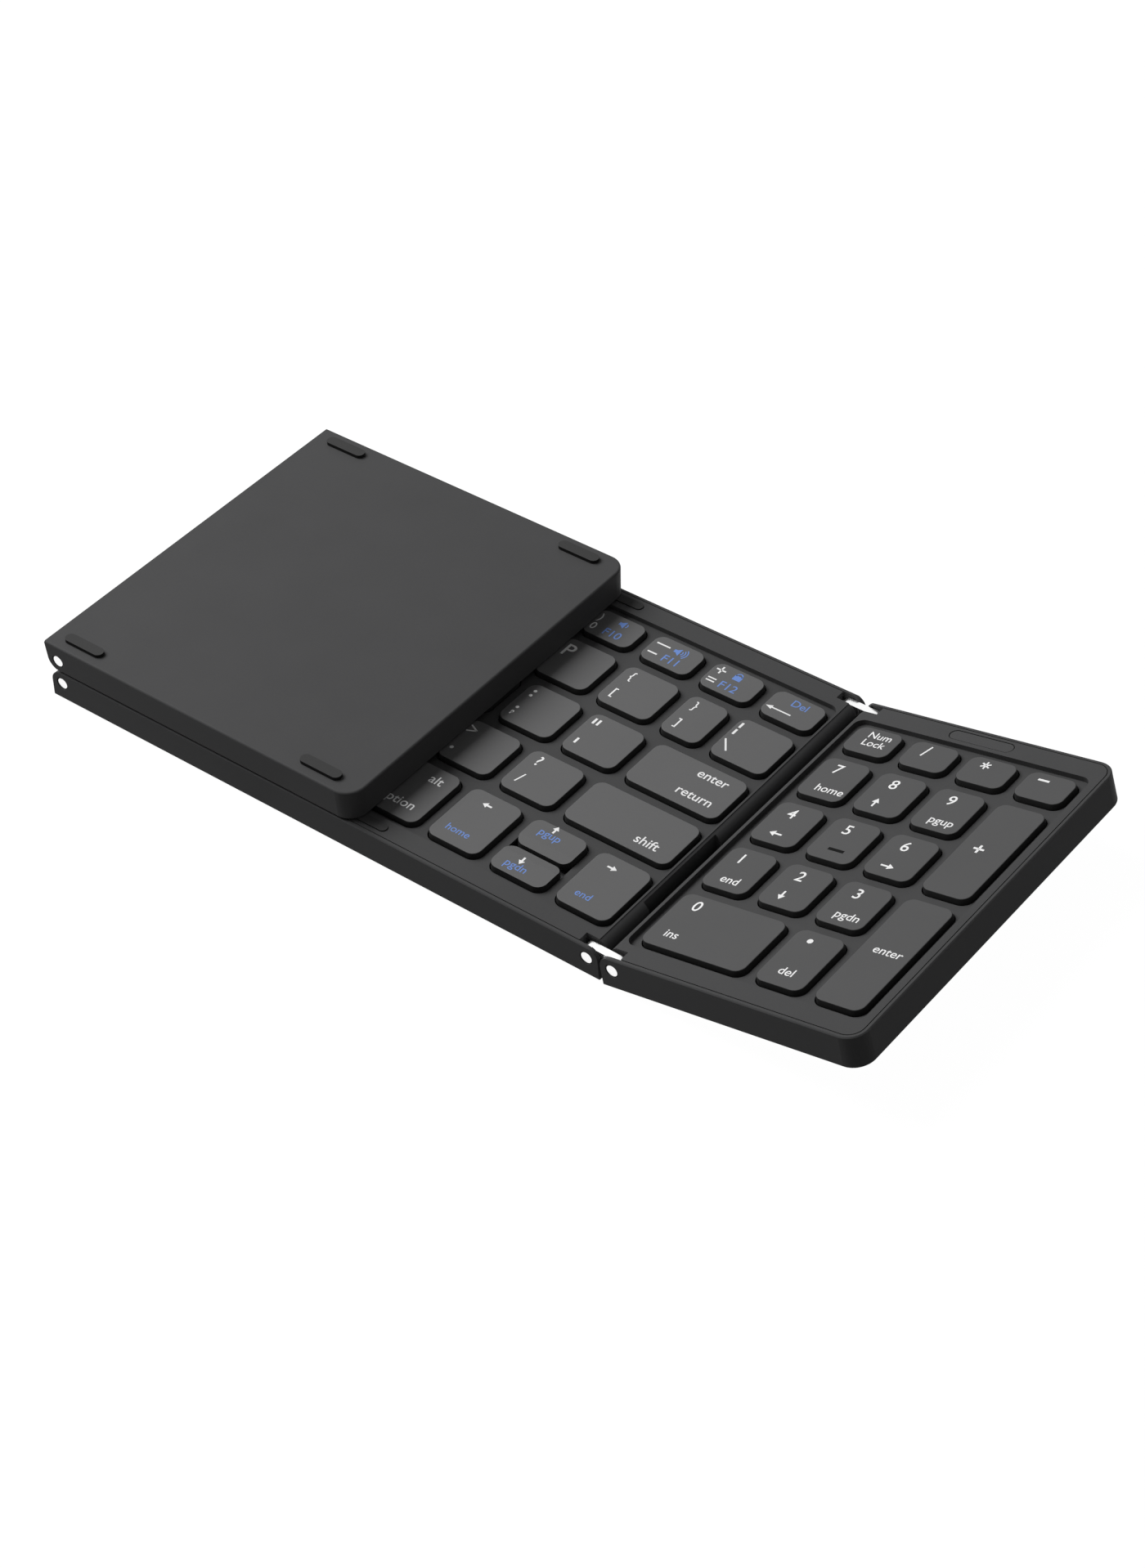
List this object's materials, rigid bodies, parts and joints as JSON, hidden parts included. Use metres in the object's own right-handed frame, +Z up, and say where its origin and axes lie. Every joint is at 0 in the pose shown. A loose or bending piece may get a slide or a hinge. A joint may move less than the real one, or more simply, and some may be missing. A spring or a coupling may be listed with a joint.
{
  "type": "folding keyboard",
  "caption": "Folding pocket keyboard with a number pad: side panels on pinned links fold over the centre panel, and the key caps press in.",
  "frame": {"origin": "below the middle of the whole object, on the plane that its feet stand on", "axes": "+X from the left panel to the number pad, +Y to the back, +Z up out of the centre panel's keys"},
  "size_m": [0.2362, 0.1026, 0.0227],
  "materials": {
    "body": "fine moulded texture",
    "keys": "satin",
    "window": "smooth, dark",
    "rubber": "matte",
    "steel": "zinc plated",
    "hinge_white": "white coated",
    "plate": "plain",
    "switch_film": "film",
    "cell": "laminated foil",
    "board": "solder resist",
    "cable": "polyimide film"
  },
  "bodies": {
    "centre_panel": {"centre_tray": "body", "centre_frame": "body", "centre_key_plate": "plate", "centre_switch_sheet": "switch_film", "centre_feet": "rubber", "centre_screws": "steel", "fold_bumpers": "rubber", "battery": "cell", "controller_board": "board", "flat_cable": "cable"},
    "left_link": {"left_links": "hinge_white", "left_link_pins": "hinge_white"},
    "left_panel": {"left_tray": "body", "left_frame": "body", "left_key_plate": "plate", "left_switch_sheet": "switch_film", "left_feet": "rubber", "left_screws": "steel"},
    "right_link": {"right_links": "hinge_white", "right_link_pins": "hinge_white"},
    "right_panel": {"right_tray": "body", "right_frame": "body", "right_key_plate": "plate", "right_switch_sheet": "switch_film", "right_feet": "rubber", "right_screws": "steel", "indicator_window": "window"},
    "number_row_keys": {"number_row_keys": "keys"},
    "top_row_keys": {"top_row_keys": "keys"},
    "home_row_keys": {"home_row_keys": "keys"},
    "bottom_row_keys": {"bottom_row_keys": "keys"},
    "space_row_keys": {"space_row_keys": "keys"},
    "key_delete": {"key_delete": "keys"},
    "key_equals": {"key_equals": "keys"},
    "key_hyphen": {"key_hyphen": "keys"},
    "key_backslash": {"key_backslash": "keys"},
    "key_return": {"key_return": "keys"},
    "key_shift": {"key_shift": "keys"},
    "key_left": {"key_left": "keys"},
    "key_page_up": {"key_page_up": "keys"},
    "key_page_down": {"key_page_down": "keys"},
    "key_right": {"key_right": "keys"},
    "key_num_lock": {"key_num_lock": "keys"},
    "key_divide": {"key_divide": "keys"},
    "key_multiply": {"key_multiply": "keys"},
    "key_minus": {"key_minus": "keys"},
    "key_7": {"key_7": "keys"},
    "key_8": {"key_8": "keys"},
    "key_9": {"key_9": "keys"},
    "key_plus": {"key_plus": "keys"},
    "key_4": {"key_4": "keys"},
    "key_5": {"key_5": "keys"},
    "key_6": {"key_6": "keys"},
    "key_1": {"key_1": "keys"},
    "key_2": {"key_2": "keys"},
    "key_3": {"key_3": "keys"},
    "key_pad_enter": {"key_pad_enter": "keys"},
    "key_0": {"key_0": "keys"},
    "key_point": {"key_point": "keys"},
    "left_keys": {"left_keys": "keys"}
  },
  "joints": [
    {"name": "left_link_hinge", "type": "hinge", "parent": "centre_panel", "child": "left_link", "pos_m": [-0.11472, 0, 0.00585], "axis": [0, -1, 0], "range_deg": [0, 90]},
    {"name": "left_panel_hinge", "type": "hinge", "parent": "left_link", "child": "left_panel", "pos_m": [-0.11472, 0, 0.01285], "axis": [0, -1, 0], "range_deg": [0, 90]},
    {"name": "right_link_hinge", "type": "hinge", "parent": "centre_panel", "child": "right_link", "pos_m": [0.04548, 0, 0.00585], "axis": [0, -1, 0], "range_deg": [0, 90]},
    {"name": "right_panel_hinge", "type": "hinge", "parent": "right_link", "child": "right_panel", "pos_m": [0.05248, 0, 0.00585], "axis": [0, -1, 0], "range_deg": [-12, 78]},
    {"name": "number_row_keys_press", "type": "slide", "parent": "centre_panel", "child": "number_row_keys", "axis": [0, 0, -1], "range_m": [0, 0.0015], "stiffness_N_per_m": 120, "springref_m": -0.002},
    {"name": "top_row_keys_press", "type": "slide", "parent": "centre_panel", "child": "top_row_keys", "axis": [0, 0, -1], "range_m": [0, 0.0015], "stiffness_N_per_m": 120, "springref_m": -0.002},
    {"name": "home_row_keys_press", "type": "slide", "parent": "centre_panel", "child": "home_row_keys", "axis": [0, 0, -1], "range_m": [0, 0.0015], "stiffness_N_per_m": 120, "springref_m": -0.002},
    {"name": "bottom_row_keys_press", "type": "slide", "parent": "centre_panel", "child": "bottom_row_keys", "axis": [0, 0, -1], "range_m": [0, 0.0015], "stiffness_N_per_m": 120, "springref_m": -0.002},
    {"name": "space_row_keys_press", "type": "slide", "parent": "centre_panel", "child": "space_row_keys", "axis": [0, 0, -1], "range_m": [0, 0.0015], "stiffness_N_per_m": 120, "springref_m": -0.002},
    {"name": "key_delete_press", "type": "slide", "parent": "centre_panel", "child": "key_delete", "axis": [0, 0, -1], "range_m": [0, 0.0015], "stiffness_N_per_m": 120, "springref_m": -0.002},
    {"name": "key_equals_press", "type": "slide", "parent": "centre_panel", "child": "key_equals", "axis": [0, 0, -1], "range_m": [0, 0.0015], "stiffness_N_per_m": 120, "springref_m": -0.002},
    {"name": "key_hyphen_press", "type": "slide", "parent": "centre_panel", "child": "key_hyphen", "axis": [0, 0, -1], "range_m": [0, 0.0015], "stiffness_N_per_m": 120, "springref_m": -0.002},
    {"name": "key_backslash_press", "type": "slide", "parent": "centre_panel", "child": "key_backslash", "axis": [0, 0, -1], "range_m": [0, 0.0015], "stiffness_N_per_m": 120, "springref_m": -0.002},
    {"name": "key_return_press", "type": "slide", "parent": "centre_panel", "child": "key_return", "axis": [0, 0, -1], "range_m": [0, 0.0015], "stiffness_N_per_m": 120, "springref_m": -0.002},
    {"name": "key_shift_press", "type": "slide", "parent": "centre_panel", "child": "key_shift", "axis": [0, 0, -1], "range_m": [0, 0.0015], "stiffness_N_per_m": 120, "springref_m": -0.002},
    {"name": "key_left_press", "type": "slide", "parent": "centre_panel", "child": "key_left", "axis": [0, 0, -1], "range_m": [0, 0.0015], "stiffness_N_per_m": 120, "springref_m": -0.002},
    {"name": "key_page_up_press", "type": "slide", "parent": "centre_panel", "child": "key_page_up", "axis": [0, 0, -1], "range_m": [0, 0.0015], "stiffness_N_per_m": 120, "springref_m": -0.002},
    {"name": "key_page_down_press", "type": "slide", "parent": "centre_panel", "child": "key_page_down", "axis": [0, 0, -1], "range_m": [0, 0.0015], "stiffness_N_per_m": 120, "springref_m": -0.002},
    {"name": "key_right_press", "type": "slide", "parent": "centre_panel", "child": "key_right", "axis": [0, 0, -1], "range_m": [0, 0.0015], "stiffness_N_per_m": 120, "springref_m": -0.002},
    {"name": "key_num_lock_press", "type": "slide", "parent": "right_panel", "child": "key_num_lock", "axis": [0.2079, 0, -0.9781], "range_m": [0, 0.0015], "stiffness_N_per_m": 120, "springref_m": -0.002},
    {"name": "key_divide_press", "type": "slide", "parent": "right_panel", "child": "key_divide", "axis": [0.2079, 0, -0.9781], "range_m": [0, 0.0015], "stiffness_N_per_m": 120, "springref_m": -0.002},
    {"name": "key_multiply_press", "type": "slide", "parent": "right_panel", "child": "key_multiply", "axis": [0.2079, 0, -0.9781], "range_m": [0, 0.0015], "stiffness_N_per_m": 120, "springref_m": -0.002},
    {"name": "key_minus_press", "type": "slide", "parent": "right_panel", "child": "key_minus", "axis": [0.2079, 0, -0.9781], "range_m": [0, 0.0015], "stiffness_N_per_m": 120, "springref_m": -0.002},
    {"name": "key_7_press", "type": "slide", "parent": "right_panel", "child": "key_7", "axis": [0.2079, 0, -0.9781], "range_m": [0, 0.0015], "stiffness_N_per_m": 120, "springref_m": -0.002},
    {"name": "key_8_press", "type": "slide", "parent": "right_panel", "child": "key_8", "axis": [0.2079, 0, -0.9781], "range_m": [0, 0.0015], "stiffness_N_per_m": 120, "springref_m": -0.002},
    {"name": "key_9_press", "type": "slide", "parent": "right_panel", "child": "key_9", "axis": [0.2079, 0, -0.9781], "range_m": [0, 0.0015], "stiffness_N_per_m": 120, "springref_m": -0.002},
    {"name": "key_plus_press", "type": "slide", "parent": "right_panel", "child": "key_plus", "axis": [0.2079, 0, -0.9781], "range_m": [0, 0.0015], "stiffness_N_per_m": 120, "springref_m": -0.002},
    {"name": "key_4_press", "type": "slide", "parent": "right_panel", "child": "key_4", "axis": [0.2079, 0, -0.9781], "range_m": [0, 0.0015], "stiffness_N_per_m": 120, "springref_m": -0.002},
    {"name": "key_5_press", "type": "slide", "parent": "right_panel", "child": "key_5", "axis": [0.2079, 0, -0.9781], "range_m": [0, 0.0015], "stiffness_N_per_m": 120, "springref_m": -0.002},
    {"name": "key_6_press", "type": "slide", "parent": "right_panel", "child": "key_6", "axis": [0.2079, 0, -0.9781], "range_m": [0, 0.0015], "stiffness_N_per_m": 120, "springref_m": -0.002},
    {"name": "key_1_press", "type": "slide", "parent": "right_panel", "child": "key_1", "axis": [0.2079, 0, -0.9781], "range_m": [0, 0.0015], "stiffness_N_per_m": 120, "springref_m": -0.002},
    {"name": "key_2_press", "type": "slide", "parent": "right_panel", "child": "key_2", "axis": [0.2079, 0, -0.9781], "range_m": [0, 0.0015], "stiffness_N_per_m": 120, "springref_m": -0.002},
    {"name": "key_3_press", "type": "slide", "parent": "right_panel", "child": "key_3", "axis": [0.2079, 0, -0.9781], "range_m": [0, 0.0015], "stiffness_N_per_m": 120, "springref_m": -0.002},
    {"name": "key_pad_enter_press", "type": "slide", "parent": "right_panel", "child": "key_pad_enter", "axis": [0.2079, 0, -0.9781], "range_m": [0, 0.0015], "stiffness_N_per_m": 120, "springref_m": -0.002},
    {"name": "key_0_press", "type": "slide", "parent": "right_panel", "child": "key_0", "axis": [0.2079, 0, -0.9781], "range_m": [0, 0.0015], "stiffness_N_per_m": 120, "springref_m": -0.002},
    {"name": "key_point_press", "type": "slide", "parent": "right_panel", "child": "key_point", "axis": [0.2079, 0, -0.9781], "range_m": [0, 0.0015], "stiffness_N_per_m": 120, "springref_m": -0.002},
    {"name": "left_keys_press", "type": "slide", "parent": "left_panel", "child": "left_keys", "axis": [0, 0, 1], "range_m": [0, 0.0015], "stiffness_N_per_m": 120, "springref_m": -0.002}
  ]
}
